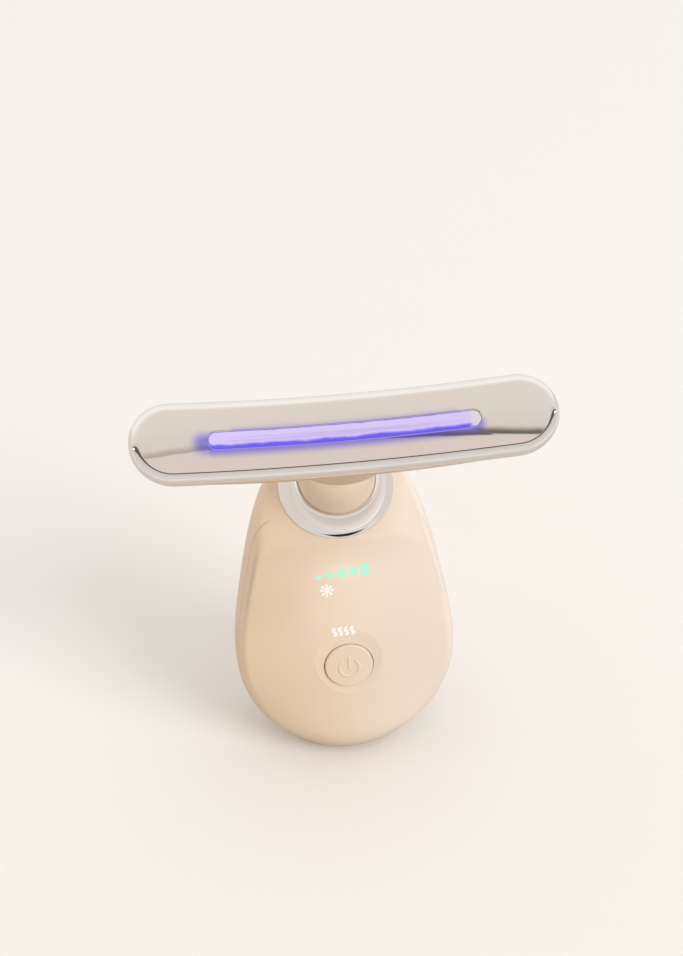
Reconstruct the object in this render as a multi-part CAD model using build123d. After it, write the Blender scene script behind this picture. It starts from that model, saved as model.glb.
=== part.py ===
from build123d import *
import os
from dataclasses import dataclass
from math import asin, cos, degrees, radians, sin, sqrt, tan

# Hand-held facial toning device: a drop-shaped handle that stands on its flat foot, a
# forward-leaning neck with a chrome collar, and a curved T head with a lit window.
# Millimetres. +Z is up, the front looks along -Y, +X is to the right of a person facing
# the device. The origin lies in the flat foot, on the symmetry plane.

# ---- driving dimensions: handle ----
WALL = 2.0
FACE_ELEVATION = 15.3
FACE_Y = -10.3
FACE_Z = 30.3
FRONT_DEPTH = 5.4
REVEAL = 0.3
REVEAL_DEPTH = 0.35
FOOT_WALL = 2.2

# ---- driving dimensions: neck and collar ----
NECK_ELEVATION = 64.5
COLLAR_Y = 12.75
COLLAR_Z = 71.7
COLLAR_RADIUS = 14.4
COLLAR_LAND = 0.5
COLLAR_TOP_RADIUS = 10.6
COLLAR_BORE_RADIUS = 10.05
COLLAR_HEIGHT = 4.9
COLLAR_SAG = 0.3
SEAT_RADIUS = 14.0
SPIGOT_RADIUS = 8.8
SPIGOT_BORE_RADIUS = 6.9
SPIGOT_LENGTH = 7.0
SPIGOT_GAP = 0.1
CLIP_RADIUS = 11.6
CLIP_GROOVE_RADIUS = 7.9
CLIP_THICKNESS = 1.2
STEM_WALL = 2.2
STEM_KNEE = 12.0
STEM_END = 5.5

# ---- driving dimensions: head ----
HEAD_ELEVATION = 52.3
HEAD_Y = -12.4
HEAD_Z = 108.4
HEAD_LENGTH = 93.0
HEAD_WIDTH = 18.2
HEAD_ARC_RADIUS = 172.0
PLATE_DEPTH = 2.6
PLATE_WALL = 1.0
PLATE_EDGE_RADIUS = 2.2
WINDOW_LENGTH = 59.4
WINDOW_WIDTH = 3.8
WINDOW_RECESS = 0.15
WINDOW_FLANGE = 1.5
FLANGE_DEPTH = 1.7
CRADLE_STEP = 0.6
CRADLE_DEPTH = 9.2
CRADLE_ARC_RADIUS = 93.5
CRADLE_CROWN_RADIUS = 26.0
CRADLE_WALL = 1.6
SADDLE_DEEP = 8.5
SADDLE_FLARE = ((6.0, 26.0), (9.5, 18.5), (13.0, 14.4), (16.5, 12.2))
SADDLE_EDGE = 0.6
STRIP_DEPTH = 2.6
STRIP_THICKNESS = 0.6
STRIP_LENGTH = 70.0
STRIP_WIDTH = 7.6
STRIP_SCREW_X = 33.5
SOLDER_GAP = 0.01

# ---- driving dimensions: button and switch ----
BUTTON_RADIUS = 6.2
BUTTON_PROUD = 0.15
BUTTON_GAP = 0.2
BUTTON_TRAVEL = 0.5
BUTTON_CAP = 1.2
BUTTON_SKIRT = 1.3
DISH_RADIUS = 9.4
DISH_DEPTH = 0.85
GUIDE_RADIUS = 8.6
GUIDE_ROOT = 1.5
GUIDE_DEPTH = 3.0
FLANGE_RADIUS = 7.4
FLANGE_GAP = 0.05
BUTTON_FLANGE = 0.85
POST_RADIUS = 1.6
POST_DEPTH = 4.9
PLUNGER_RADIUS = 1.7
PLUNGER_DEPTH = 6.2
SWITCH_SIZE = 6.0
SWITCH_TOP = 5.2

# ---- driving dimensions: electronics in the handle ----
BOARD_FRONT = 8.4
BOARD_THICKNESS = 1.2
BOARD_BACK = BOARD_FRONT + BOARD_THICKNESS
BOARD_HALF_WIDTH = 15.0
BOARD_LOW = -19.0
BOARD_HIGH = 31.0
BOARD_CORNER = 2.0
FIXINGS = ((-12.5, -15.5), (12.5, -15.5), (-12.5, 27.5), (12.5, 27.5))
FIXING_BOSS_RADIUS = 2.4
FIXING_DEPTH = 4.5
SCREW_RADIUS = 0.8
SCREW_HEAD_RADIUS = 1.7
SCREW_HEAD = 1.1
FRAME_LEFT = -9.5
FRAME_RIGHT = 8.5
FRAME_LOW = 8.8
FRAME_HIGH = 30.9
FRAME_FRONT = 2.6
FRAME_RIB = 0.8
FRAME_CELLS = ((9.6, 12.8), (13.6, 19.6), (20.4, 24.8), (25.6, 30.1))
FILM_THICKNESS = 0.2
BATTERY_FRONT = 13.5
BATTERY_THICKNESS = 6.5
BATTERY_HALF_WIDTH = 12.5
BATTERY_LOW = -14.0
BATTERY_HIGH = 21.0
PAD_THICKNESS = 0.5
SHELF_THICKNESS = 1.5
CHARGER_FLOOR = 6.0
CHARGER_THICKNESS = 1.0
CHARGER_SCREWS = ((-5.5, 4.5), (5.5, 4.5))
SOCKET_WIDTH = 8.94
SOCKET_HEIGHT = 3.16
SOCKET_WALL = 0.3
SOCKET_BACK = 11.2
SOCKET_MOUTH = 18.5
PORT_CLEARANCE = 0.3
PLUG_X = 7.0
PLUG_LOW = 23.0
PLUG_HIGH = 28.0
PLUG_DEPTH = 3.0
PLUG_MIDDLE_RISE = 4.5
LEAD_RADIUS = 0.45
LEAD_BEND = 1.5
LEAD_SPACING = 1.6
LEAD_DEPTH = -16.8
CHARGER_LEAD_Y = 2.6
CHARGER_LEAD_HIGH = -15.0
HARNESS_PLUG_X = -6.0
HARNESS_DEPTH = -11.1
HARNESS_OFFSET = 4.9
HARNESS_RADIUS = 1.0
HARNESS_BEND = 2.5

# ---- driving dimensions: vibration motor ----
MOTOR_RADIUS = 3.5
MOTOR_LOW = -9.0
MOTOR_HIGH = 3.0
SHAFT_RADIUS = 0.5
SHAFT_GAP = 0.05
SHAFT_HIGH = 9.2
WEIGHT_RADIUS = 3.2
WEIGHT_LOW = 4.4
WEIGHT_HIGH = 8.4
BOOT_GAP = 0.05
BOOT_HIGH = 1.5


# ------------------------------------------------------------ frames and helpers


def tilted_frame(y, z, elevation):
    """Frame on the symmetry plane: local z points forward and up, local y up and back."""
    angle = radians(elevation)
    return Plane(origin=(0, y, z), x_dir=(1, 0, 0), z_dir=(0, -cos(angle), sin(angle)))


FACE = tilted_frame(FACE_Y, FACE_Z, FACE_ELEVATION)
NECK = tilted_frame(COLLAR_Y, COLLAR_Z, NECK_ELEVATION)
HEAD = tilted_frame(HEAD_Y, HEAD_Z, HEAD_ELEVATION)


def block(frame, x, y, z):
    """Box between two limits along each direction of a frame."""
    pairs = (x, y, z)
    middle = [(low + high) / 2 for low, high in pairs]
    return frame * Pos(*middle) * Box(*[high - low for low, high in pairs])


def rod(frame, centre, radius, low, high):
    """Round bar along a frame's z, between two heights."""
    return frame * Pos(*centre, (low + high) / 2) * Cylinder(radius, high - low)


def tube(frame, centre, outer, inner, low, high):
    """Round pipe along a frame's z, between two heights."""
    return rod(frame, centre, outer, low, high) - rod(frame, centre, inner, low, high)


def lead(points, radius, bend):
    """Round insulated wire along straight runs between points, with round bends."""
    path = FilletPolyline(*points, radius=bend)
    return sweep(Plane(origin=path @ 0, z_dir=path % 0) * Circle(radius), path=path)


def at(frame, x, y, z):
    """Point given in a frame, as a point of the whole device."""
    return frame.from_local_coords(Vector(x, y, z))


# ---------------------------------------------------------------- handle form


@dataclass
class Station:
    """A section of the handle, from its front to its back point (y, z), both at x = 0.

    The front bows back by the crown up to its corners, and each corner takes its width and
    its depth to reach the side, where the section is widest.
    """

    front: tuple
    back: tuple
    half_width: float
    crown: float
    corner: float
    depth: float


def seat_point(reach):
    """Point (y, z) of the seat plane, at a distance behind the neck axis."""
    point = at(NECK, 0, reach, 0)
    return (point.Y, point.Z)


STATIONS = (
    Station((-9.1, 0.0), (13.6, 0.0), 10.7, 0.5, 5.0, 9.8),
    Station((-12.1, 1.0), (15.5, 1.0), 13.6, 0.9, 6.0, 11.6),
    Station((-14.1, 3.2), (17.5, 3.2), 16.2, 1.9, 6.9, 11.8),
    Station((-15.5, 7.8), (19.6, 7.8), 20.5, 2.8, 6.9, 11.5),
    Station((-14.8, 12.5), (20.8, 12.5), 24.6, 3.5, 6.4, 11.0),
    Station((-13.0, 19.5), (21.8, 19.5), 27.6, 3.6, 4.8, 10.6),
    Station((-9.8, 33.0), (22.8, 34.0), 28.4, 2.7, 2.7, 9.2),
    Station((-6.1, 47.0), (25.0, 50.0), 25.9, 2.1, 2.3, 9.3),
    Station((-3.2, 57.5), (26.6, 63.5), 23.2, 1.7, 2.3, 9.0),
    Station((-1.6, 62.2), (26.9, 71.5), 21.3, 1.3, 2.8, 8.6),
    Station((-0.9, 64.3), (26.6, 76.0), 19.4, 1.1, 5.0, 9.7),
    Station(seat_point(-14.6), seat_point(14.5), 16.0, 0.8, 8.5, 11.7),
)
ARCH_PULL = 0.6


def back_arch(half, side, back):
    """Two curves that close the section round the back, from the right to the left side."""
    reach = side + ARCH_PULL * (back - side)
    pulls = ((half, side), (half, reach), (ARCH_PULL * half, back), (0, back))
    return [Bezier(*pulls), Bezier(*[(-x, y) for x, y in reversed(pulls)])]


def handle_section(station, inset):
    """Closed section: crowned front, rounded front corners, full round back."""
    front = Vector(0, *station.front)
    across = Vector(0, *station.back) - front
    plane = Plane(origin=front, x_dir=(1, 0, 0), z_dir=Vector(1, 0, 0).cross(across))
    half = station.half_width - inset
    corner = max(station.corner - inset, 1.0)
    edge = half - corner
    shoulder = inset + station.crown * (edge / (station.half_width - station.corner)) ** 2
    side = shoulder + station.depth - inset / 2
    lean = 2 * (shoulder - inset) / edge
    turn = (half - 0.3 * corner, shoulder + 0.7 * corner * lean)
    rise = (half, shoulder + 0.4 * (side - shoulder))
    pulls = ((edge, shoulder), turn, rise, (half, side))
    front_arc = ThreePointArc((-edge, shoulder), (0, inset), (edge, shoulder))
    right_corner = Bezier(*pulls)
    left_corner = Bezier(*[(-x, y) for x, y in reversed(pulls)])
    arch = back_arch(half, side, across.length - inset)
    return plane * make_face([front_arc, right_corner, *arch, left_corner])


def handle_form(inset):
    """Outer form of the handle, or the same form drawn in by the inset."""
    return loft([handle_section(station, inset) for station in STATIONS])


def handle_cavity():
    """Room inside the handle: the drawn-in form, cut off above the foot and below the seat."""
    above_foot = block(Plane.XY, (-50, 50), (-50, 50), (FOOT_WALL, 100))
    below_seat = block(NECK, (-50, 50), (-50, 50), (-100, -FOOT_WALL))
    return handle_form(WALL) & above_foot & below_seat


def front_region(grow):
    """Space of the front shell: ahead of the parting plane, clear of the collar seat."""
    ahead = block(FACE, (-50, 50), (-60, 80), (-FRONT_DEPTH - grow, 40))
    return ahead - rod(NECK, (0, 0), SEAT_RADIUS - grow, -8, 8)


# ---------------------------------------------------------------- handle shells


def front_shell(form, cavity):
    """Face plate of the handle with the button dish, its guide and four board bosses."""
    shell = (form - cavity) & front_region(0)
    ball = (DISH_RADIUS**2 + DISH_DEPTH**2) / (2 * DISH_DEPTH)
    shell -= FACE * Pos(0, 0, ball - DISH_DEPTH) * Sphere(ball)
    shell += rod(FACE, (0, 0), GUIDE_RADIUS, -GUIDE_DEPTH, -GUIDE_ROOT)
    shell -= rod(FACE, (0, 0), BUTTON_RADIUS + BUTTON_GAP, -GUIDE_DEPTH, 1)
    core = handle_form(WALL / 2)
    for fixing in FIXINGS:
        shell += rod(FACE, fixing, FIXING_BOSS_RADIUS, -BOARD_FRONT, 0) & core
        shell -= rod(FACE, fixing, SCREW_RADIUS, -BOARD_FRONT, -FIXING_DEPTH)
    return shell


def port_cutter(clearance, near, far):
    """Rounded charging port outline, pushed along the back direction between two depths."""
    middle = CHARGER_FLOOR + CHARGER_THICKNESS + SOCKET_HEIGHT / 2
    plane = Plane(origin=(0, near, middle), x_dir=(1, 0, 0), z_dir=(0, 1, 0))
    outline = SlotOverall(SOCKET_WIDTH + 2 * clearance, SOCKET_HEIGHT + 2 * clearance)
    return extrude(plane * outline, amount=far - near)


def battery_shelf(cavity):
    """Shelf across the rear shell that carries the battery."""
    near = BATTERY_FRONT + BATTERY_THICKNESS + PAD_THICKNESS
    depth = (-near - SHELF_THICKNESS, -near)
    return block(FACE, (-40, 40), (BATTERY_LOW + 1, BATTERY_HIGH - 1), depth) & cavity


def rear_shell(form, cavity):
    """Deep tub of the handle with its foot, collar seat, battery shelf and port."""
    shell = (form - cavity) - front_region(0)
    shell -= front_region(REVEAL) - handle_form(REVEAL_DEPTH)
    shell -= rod(NECK, (0, 0), SPIGOT_RADIUS + SPIGOT_GAP, -FOOT_WALL - 1, 1)
    shell += battery_shelf(cavity)
    shell -= port_cutter(PORT_CLEARANCE, SOCKET_BACK, SOCKET_MOUTH + 4)
    for spot in CHARGER_SCREWS:
        shell += rod(Plane.XY, spot, FIXING_BOSS_RADIUS, FOOT_WALL / 2, CHARGER_FLOOR)
        shell -= rod(Plane.XY, spot, SCREW_RADIUS, FOOT_WALL, CHARGER_FLOOR)
    return shell


# ---------------------------------------------------------------- button and switch


def power_button():
    """Round cap with a skirt, a retaining flange and a post that reaches the switch."""
    flange_front = -GUIDE_DEPTH - FLANGE_GAP
    flange_back = flange_front - BUTTON_FLANGE
    cap = rod(FACE, (0, 0), BUTTON_RADIUS, flange_front, BUTTON_PROUD)
    cap = fillet(cap.faces().sort_by(Axis(FACE.origin, FACE.z_dir))[-1].edges(), 0.45)
    cap += rod(FACE, (0, 0), FLANGE_RADIUS, flange_back, flange_front)
    ceiling = BUTTON_PROUD - BUTTON_CAP
    cap -= rod(FACE, (0, 0), BUTTON_RADIUS - BUTTON_SKIRT, flange_back, ceiling)
    return cap + rod(FACE, (0, 0), POST_RADIUS, -POST_DEPTH, ceiling)


def switch_plunger():
    """Plunger of the tactile switch, carried by the button post."""
    return rod(FACE, (0, 0), PLUNGER_RADIUS, -PLUNGER_DEPTH, -POST_DEPTH)


def switch_body():
    """Square body of the tactile switch with the well for its plunger."""
    half = SWITCH_SIZE / 2
    body = block(FACE, (-half, half), (-half, half), (-BOARD_FRONT, -SWITCH_TOP))
    floor = -PLUNGER_DEPTH - BUTTON_TRAVEL - BUTTON_GAP
    return body - rod(FACE, (0, 0), PLUNGER_RADIUS + SHAFT_GAP, floor, -SWITCH_TOP)


# ---------------------------------------------------------------- boards and lights


def main_board():
    """Circuit board behind the face, held by four screws."""
    outline = RectangleRounded(2 * BOARD_HALF_WIDTH, BOARD_HIGH - BOARD_LOW, BOARD_CORNER)
    middle = (BOARD_HIGH + BOARD_LOW) / 2
    board = FACE * Pos(0, middle, -BOARD_BACK) * extrude(outline, amount=BOARD_THICKNESS)
    for fixing in FIXINGS:
        board -= rod(FACE, fixing, SCREW_RADIUS + BUTTON_GAP, -BOARD_BACK, -BOARD_FRONT)
    return board


# Chips and coils on the back of the board: x, height on the face, width, height, thickness.
COMPONENTS = (
    (0.0, 0.0, 7.0, 7.0, 1.0),
    (-9.0, 8.0, 4.6, 4.6, 2.4),
    (9.0, 9.0, 3.2, 5.0, 1.6),
    (-9.5, -3.0, 3.0, 3.0, 1.1),
    (9.5, -4.0, 4.0, 3.0, 1.2),
    (-3.5, 13.0, 1.8, 0.9, 0.7),
    (0.0, 13.0, 1.8, 0.9, 0.7),
    (3.5, 13.0, 1.8, 0.9, 0.7),
    (-4.5, -10.0, 5.0, 4.0, 1.4),
    (5.5, -11.0, 2.6, 3.2, 1.0),
)


def board_components():
    """Chips, coils and small parts soldered to the back of the main board."""
    parts = []
    for x, y, width, height, thickness in COMPONENTS:
        depth = (-BOARD_BACK - thickness, -BOARD_BACK)
        across = (x - width / 2, x + width / 2)
        parts.append(block(FACE, across, (y - height / 2, y + height / 2), depth))
    return Compound(parts)


def board_screws():
    """Four screws that hold the main board to the bosses of the front shell."""
    screws = []
    for fixing in FIXINGS:
        head = rod(FACE, fixing, SCREW_HEAD_RADIUS, -BOARD_BACK - SCREW_HEAD, -BOARD_BACK)
        screws.append(head + rod(FACE, fixing, SCREW_RADIUS, -BOARD_BACK, -FIXING_DEPTH))
    return Compound(screws)


# Lamps under the lit marks of the face: x and height on the face.
LAMPS = ((-4.2, 27.8), (-1.0, 27.8), (1.3, 27.8), (4.8, 27.8), (-4.5, 22.9), (-1.0, 11.2))


def indicator_leds():
    """Small lamps on the front of the main board, one under each lit mark."""
    lamps = []
    for x, y in LAMPS:
        spot = (-BOARD_FRONT, -BOARD_FRONT + 0.7)
        lamps.append(block(FACE, (x - 0.8, x + 0.8), (y - 0.5, y + 0.5), spot))
    return Compound(lamps)


def indicator_frame():
    """Light shroud between the board and the face, one cell for each row of marks."""
    depth = (-BOARD_FRONT, -FRAME_FRONT)
    frame = block(FACE, (FRAME_LEFT, FRAME_RIGHT), (FRAME_LOW, FRAME_HIGH), depth)
    inside = (FRAME_LEFT + FRAME_RIB, FRAME_RIGHT - FRAME_RIB)
    for cell in FRAME_CELLS:
        frame -= block(FACE, inside, cell, depth)
    return frame


def indicator_film():
    """Diffusing film on the light shroud."""
    depth = (-FRAME_FRONT, -FRAME_FRONT + FILM_THICKNESS)
    return block(FACE, (FRAME_LEFT, FRAME_RIGHT), (FRAME_LOW, FRAME_HIGH), depth)


# ---------------------------------------------------------------- battery


def battery_cell():
    """Flat pouch cell on the shelf of the rear shell."""
    height = BATTERY_HIGH - BATTERY_LOW
    outline = RectangleRounded(2 * BATTERY_HALF_WIDTH, height, 1.5)
    back = BATTERY_FRONT + BATTERY_THICKNESS
    middle = (BATTERY_HIGH + BATTERY_LOW) / 2
    cell = extrude(outline, amount=BATTERY_THICKNESS)
    cell = fillet(cell.edges().filter_by(GeomType.LINE).filter_by(Axis.Y), 1.2)
    return FACE * Pos(0, middle, -back) * cell


def battery_pad():
    """Foam tape between the battery and its shelf."""
    back = BATTERY_FRONT + BATTERY_THICKNESS
    across = (2 - BATTERY_HALF_WIDTH, BATTERY_HALF_WIDTH - 2)
    along = (BATTERY_LOW + 2, BATTERY_HIGH - 2)
    return block(FACE, across, along, (-back - PAD_THICKNESS, -back))


def board_plug(middle, width):
    """Wire connector on the back of the main board."""
    across = (middle - width / 2, middle + width / 2)
    return block(FACE, across, (PLUG_LOW, PLUG_HIGH), (-BOARD_BACK - PLUG_DEPTH, -BOARD_BACK))


def battery_leads():
    """Two wires from the battery to its connector."""
    high = BATTERY_HIGH + PLUG_MIDDLE_RISE
    plug_back = -BOARD_BACK - PLUG_DEPTH
    wires = []
    for x in (PLUG_X - LEAD_SPACING / 2, PLUG_X + LEAD_SPACING / 2):
        points = [
            at(FACE, x, BATTERY_HIGH + SOLDER_GAP, LEAD_DEPTH),
            at(FACE, x, high, LEAD_DEPTH),
            at(FACE, x, high, plug_back - SOLDER_GAP),
        ]
        wires.append(lead(points, LEAD_RADIUS, LEAD_BEND))
    return Compound(wires)


# ---------------------------------------------------------------- charging port


def charging_board():
    """Small board above the foot that carries the charging socket."""
    top = CHARGER_FLOOR + CHARGER_THICKNESS
    board = block(Plane.XY, (-7.5, 7.5), (1.5, 14.0), (CHARGER_FLOOR, top))
    for spot in CHARGER_SCREWS:
        board -= rod(Plane.XY, spot, SCREW_RADIUS + BUTTON_GAP, CHARGER_FLOOR, top)
    return board


def charging_screws():
    """Two screws that hold the charging board to the foot."""
    top = CHARGER_FLOOR + CHARGER_THICKNESS
    screws = []
    for spot in CHARGER_SCREWS:
        head = rod(Plane.XY, spot, SCREW_HEAD_RADIUS, top, top + SCREW_HEAD)
        screws.append(head + rod(Plane.XY, spot, SCREW_RADIUS, FOOT_WALL + 1, top))
    return Compound(screws)


def charging_socket():
    """Metal shell of the charging socket, open towards the back."""
    shell = port_cutter(0, SOCKET_BACK, SOCKET_MOUTH)
    return shell - port_cutter(-SOCKET_WALL, SOCKET_BACK + 1, SOCKET_MOUTH)


def socket_tongue():
    """Contact tongue in the middle of the charging socket."""
    middle = CHARGER_FLOOR + CHARGER_THICKNESS + SOCKET_HEIGHT / 2
    reach = (SOCKET_BACK + 1, SOCKET_MOUTH - 0.8)
    return block(Plane.XY, (-3.35, 3.35), reach, (middle - 0.35, middle + 0.35))


def charging_leads():
    """Two wires from the charging board up to the back of the main board."""
    foot = CHARGER_FLOOR + CHARGER_THICKNESS + SOLDER_GAP
    wires = []
    for x in (-LEAD_SPACING, LEAD_SPACING):
        end = at(FACE, x, CHARGER_LEAD_HIGH, -BOARD_BACK - SOLDER_GAP)
        fall = (CHARGER_LEAD_Y - end.Y) * tan(radians(FACE_ELEVATION))
        points = [(x, CHARGER_LEAD_Y, foot), (x, CHARGER_LEAD_Y, end.Z - fall), end]
        wires.append(lead(points, LEAD_RADIUS, LEAD_BEND))
    return Compound(wires)


# ---------------------------------------------------------------- neck


def neck_collar():
    """Chrome collar with a concave flare around the foot of the neck."""
    rise = COLLAR_HEIGHT - COLLAR_LAND
    run = COLLAR_RADIUS - COLLAR_TOP_RADIUS
    chord = sqrt(rise**2 + run**2)
    waist = (
        (COLLAR_RADIUS + COLLAR_TOP_RADIUS) / 2 - COLLAR_SAG * rise / chord,
        (COLLAR_HEIGHT + COLLAR_LAND) / 2 - COLLAR_SAG * run / chord,
    )
    outline = [
        Line((COLLAR_BORE_RADIUS, 0), (COLLAR_RADIUS, 0)),
        Line((COLLAR_RADIUS, 0), (COLLAR_RADIUS, COLLAR_LAND)),
        ThreePointArc((COLLAR_RADIUS, COLLAR_LAND), waist, (COLLAR_TOP_RADIUS, COLLAR_HEIGHT)),
        Line((COLLAR_TOP_RADIUS, COLLAR_HEIGHT), (COLLAR_BORE_RADIUS, COLLAR_HEIGHT)),
        Line((COLLAR_BORE_RADIUS, COLLAR_HEIGHT), (COLLAR_BORE_RADIUS, 0)),
    ]
    return NECK * revolve(Plane.XZ * make_face(outline), Axis.Z)


@dataclass
class Girth:
    """Half-axes of the stem, across and front to back, at a share of its length."""

    share: float
    across: float
    deep: float


GIRTHS = (
    Girth(0.0, 9.9, 9.9),
    Girth(0.3, 9.2, 9.0),
    Girth(0.6, 8.8, 7.9),
    Girth(0.85, 8.8, 7.1),
    Girth(1.0, 9.4, 6.8),
)


def stem_path():
    """Middle line of the stem, from the collar to the back of the head."""
    return Bezier(NECK.origin, at(NECK, 0, 0, STEM_KNEE), at(HEAD, 0, 0, -STEM_END))


def stem(inset):
    """Curved stem up into the back of the head, or the same drawn in by the inset."""
    path = stem_path()
    sections = []
    for girth in GIRTHS:
        plane = Plane(origin=path @ girth.share, x_dir=(1, 0, 0), z_dir=path % girth.share)
        sections.append(plane * Ellipse(girth.across - inset, girth.deep - inset))
    return loft(sections)


def neck_clip():
    """Open ring that locks the stem under the collar seat."""
    low = -FOOT_WALL - CLIP_THICKNESS
    ring = tube(NECK, (0, 0), CLIP_RADIUS, CLIP_GROOVE_RADIUS + SPIGOT_GAP, low, -FOOT_WALL)
    return ring - block(NECK, (-5, 5), (-CLIP_RADIUS, 0), (low, -FOOT_WALL))


# ---------------------------------------------------------------- head


def head_roll(depth):
    """Large roll across the head that its face lies on, swollen by a depth."""
    return Pos(0, 0, HEAD_ARC_RADIUS) * Rot(90, 0, 0) * Cylinder(HEAD_ARC_RADIUS + depth, 40)


def curved_slab(outline, front, back):
    """Outline on the head, as a slab between two depths behind the curved face."""
    prism = extrude(outline, amount=20, both=True)
    return (prism & head_roll(back)) - head_roll(front)


def head_outline(inset):
    """Long round-ended outline of the head, drawn in by the inset."""
    return SlotOverall(HEAD_LENGTH - 2 * inset, HEAD_WIDTH - 2 * inset)


def head_spot(x):
    """Frame on the curved face at a distance from its middle, z out of the face."""
    turn = Rot(0, -degrees(asin(x / HEAD_ARC_RADIUS)), 0)
    return HEAD * Pos(0, 0, HEAD_ARC_RADIUS) * turn * Pos(0, 0, -HEAD_ARC_RADIUS)


def massage_plate():
    """Chrome tray of the head: curved face, rounded edge and the slot for the window."""
    plate = curved_slab(head_outline(0), 0, PLATE_DEPTH)
    plate = fillet(plate.faces().sort_by_distance((0, 0, 0))[0].edges(), PLATE_EDGE_RADIUS)
    plate -= curved_slab(head_outline(PLATE_WALL), PLATE_WALL, 2 * PLATE_DEPTH)
    plate -= curved_slab(SlotOverall(WINDOW_LENGTH, WINDOW_WIDTH), -1, PLATE_DEPTH)
    plate = HEAD * plate
    for x in (-STRIP_SCREW_X, STRIP_SCREW_X):
        plate += rod(head_spot(x), (0, 0), 1.6, SOLDER_GAP - STRIP_DEPTH, -PLATE_WALL / 2)
        plate -= rod(head_spot(x), (0, 0), 0.6, -STRIP_DEPTH, -PLATE_WALL)
    return plate


def light_window():
    """Frosted light bar in the slot of the plate, held by a flange behind it."""
    fit = 2 * SHAFT_GAP
    bar = SlotOverall(WINDOW_LENGTH - fit, WINDOW_WIDTH - fit)
    flange = SlotOverall(WINDOW_LENGTH + 2 * WINDOW_FLANGE, WINDOW_WIDTH + 2 * WINDOW_FLANGE)
    window = curved_slab(bar, WINDOW_RECESS, FLANGE_DEPTH)
    return HEAD * (window + curved_slab(flange, PLATE_WALL, FLANGE_DEPTH))


def light_strip():
    """Flexible circuit strip that follows the curve behind the window."""
    outline = SlotOverall(STRIP_LENGTH, STRIP_WIDTH)
    strip = HEAD * curved_slab(outline, STRIP_DEPTH, STRIP_DEPTH + STRIP_THICKNESS)
    for x in (-STRIP_SCREW_X, STRIP_SCREW_X):
        strip -= rod(head_spot(x), (0, 0), 0.7, -2 * STRIP_DEPTH, 0)
    return strip


def light_leds():
    """Row of lamps on the strip, under the window."""
    lamps = []
    depth = (SOLDER_GAP - STRIP_DEPTH, -FLANGE_DEPTH - 0.1)
    for index in range(-4, 5):
        lamps.append(block(head_spot(6.4 * index), (-1.4, 1.4), (-0.8, 0.8), depth))
    return Compound(lamps)


def strip_screws():
    """Two screws that hold the strip to the bosses of the plate."""
    back = STRIP_DEPTH + STRIP_THICKNESS
    screws = []
    for x in (-STRIP_SCREW_X, STRIP_SCREW_X):
        head = rod(head_spot(x), (0, 0), 1.2, -back - 0.5, -back - SOLDER_GAP)
        screws.append(head + rod(head_spot(x), (0, 0), 0.55, -back - SOLDER_GAP, -PLATE_WALL - 0.2))
    return Compound(screws)


def heater_film():
    """Two heating films stuck behind the plate, above and below the window."""
    films = []
    for side in (-5.65, 5.65):
        outline = Pos(0, side) * SlotOverall(72, 3.4)
        films.append(HEAD * curved_slab(outline, PLATE_WALL, PLATE_WALL + 0.2))
    return Compound(films)


def thermistor():
    """Temperature bead on the upper heating film."""
    return block(head_spot(12), (-1.0, 1.0), (5.1, 6.3), (-PLATE_WALL - 1.1, -PLATE_WALL - 0.21))


def head_seal():
    """Soft gasket in the corner between plate and cradle."""
    ring = curved_slab(head_outline(PLATE_WALL + 0.05), PLATE_DEPTH - 0.7, PLATE_DEPTH)
    return HEAD * (ring - curved_slab(head_outline(PLATE_WALL + 0.85), 0, 2 * PLATE_DEPTH))


def crowned_roll(inset):
    """Barrel-shaped solid whose outside is the crowned back of the head."""
    crown = CRADLE_CROWN_RADIUS - inset
    lowest = inset - CRADLE_DEPTH
    half = HEAD_WIDTH / 2
    brim = lowest + crown - sqrt(crown**2 - half**2)
    top = 2 * PLATE_DEPTH + CRADLE_DEPTH
    outline = [
        ThreePointArc((-half, brim), (0, lowest), (half, brim)),
        Line((half, brim), (half, top)),
        Line((half, top), (-half, top)),
        Line((-half, top), (-half, brim)),
    ]
    axis = Axis((0, 0, CRADLE_ARC_RADIUS - CRADLE_DEPTH), (0, 1, 0))
    return revolve(Plane.YZ * make_face(outline), axis)


def cradle_form(inset):
    """Solid back of the head under the plate, or the same drawn in by the inset."""
    prism = extrude(head_outline(CRADLE_STEP + inset), amount=20, both=True)
    return HEAD * ((prism & crowned_roll(inset)) - head_roll(PLATE_DEPTH))


def saddle():
    """Flared skirt of the head that reaches down over the top of the stem."""
    sections = [
        HEAD * Pos(0, 0, -depth) * Ellipse(across, SADDLE_DEEP)
        for depth, across in SADDLE_FLARE
    ]
    skirt = loft(sections)
    return fillet(skirt.faces().sort_by(Axis(HEAD.origin, HEAD.z_dir))[0].edges(), SADDLE_EDGE)


def head_cradle():
    """Hollow back of the head with the stem and the spigot that enters the handle."""
    spigot = rod(NECK, (0, 0), SPIGOT_RADIUS, -SPIGOT_LENGTH, 0)
    outer = cradle_form(0) + saddle() + stem(0) + spigot
    bore = rod(NECK, (0, 0), SPIGOT_BORE_RADIUS, -SPIGOT_LENGTH, SHAFT_GAP)
    shell = outer - cradle_form(CRADLE_WALL) - stem(STEM_WALL) - bore
    low = -FOOT_WALL - CLIP_THICKNESS - SHAFT_GAP
    groove = (low, SHAFT_GAP - FOOT_WALL)
    return shell - tube(NECK, (0, 0), SPIGOT_RADIUS + 1, CLIP_GROOVE_RADIUS, *groove)


# ---------------------------------------------------------------- motor


def motor_can():
    """Steel can of the vibration motor with the bearing hole for its shaft."""
    can = rod(NECK, (0, 0), MOTOR_RADIUS, MOTOR_LOW, MOTOR_HIGH)
    return can - rod(NECK, (0, 0), SHAFT_RADIUS + SHAFT_GAP, -1, MOTOR_HIGH)


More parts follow.
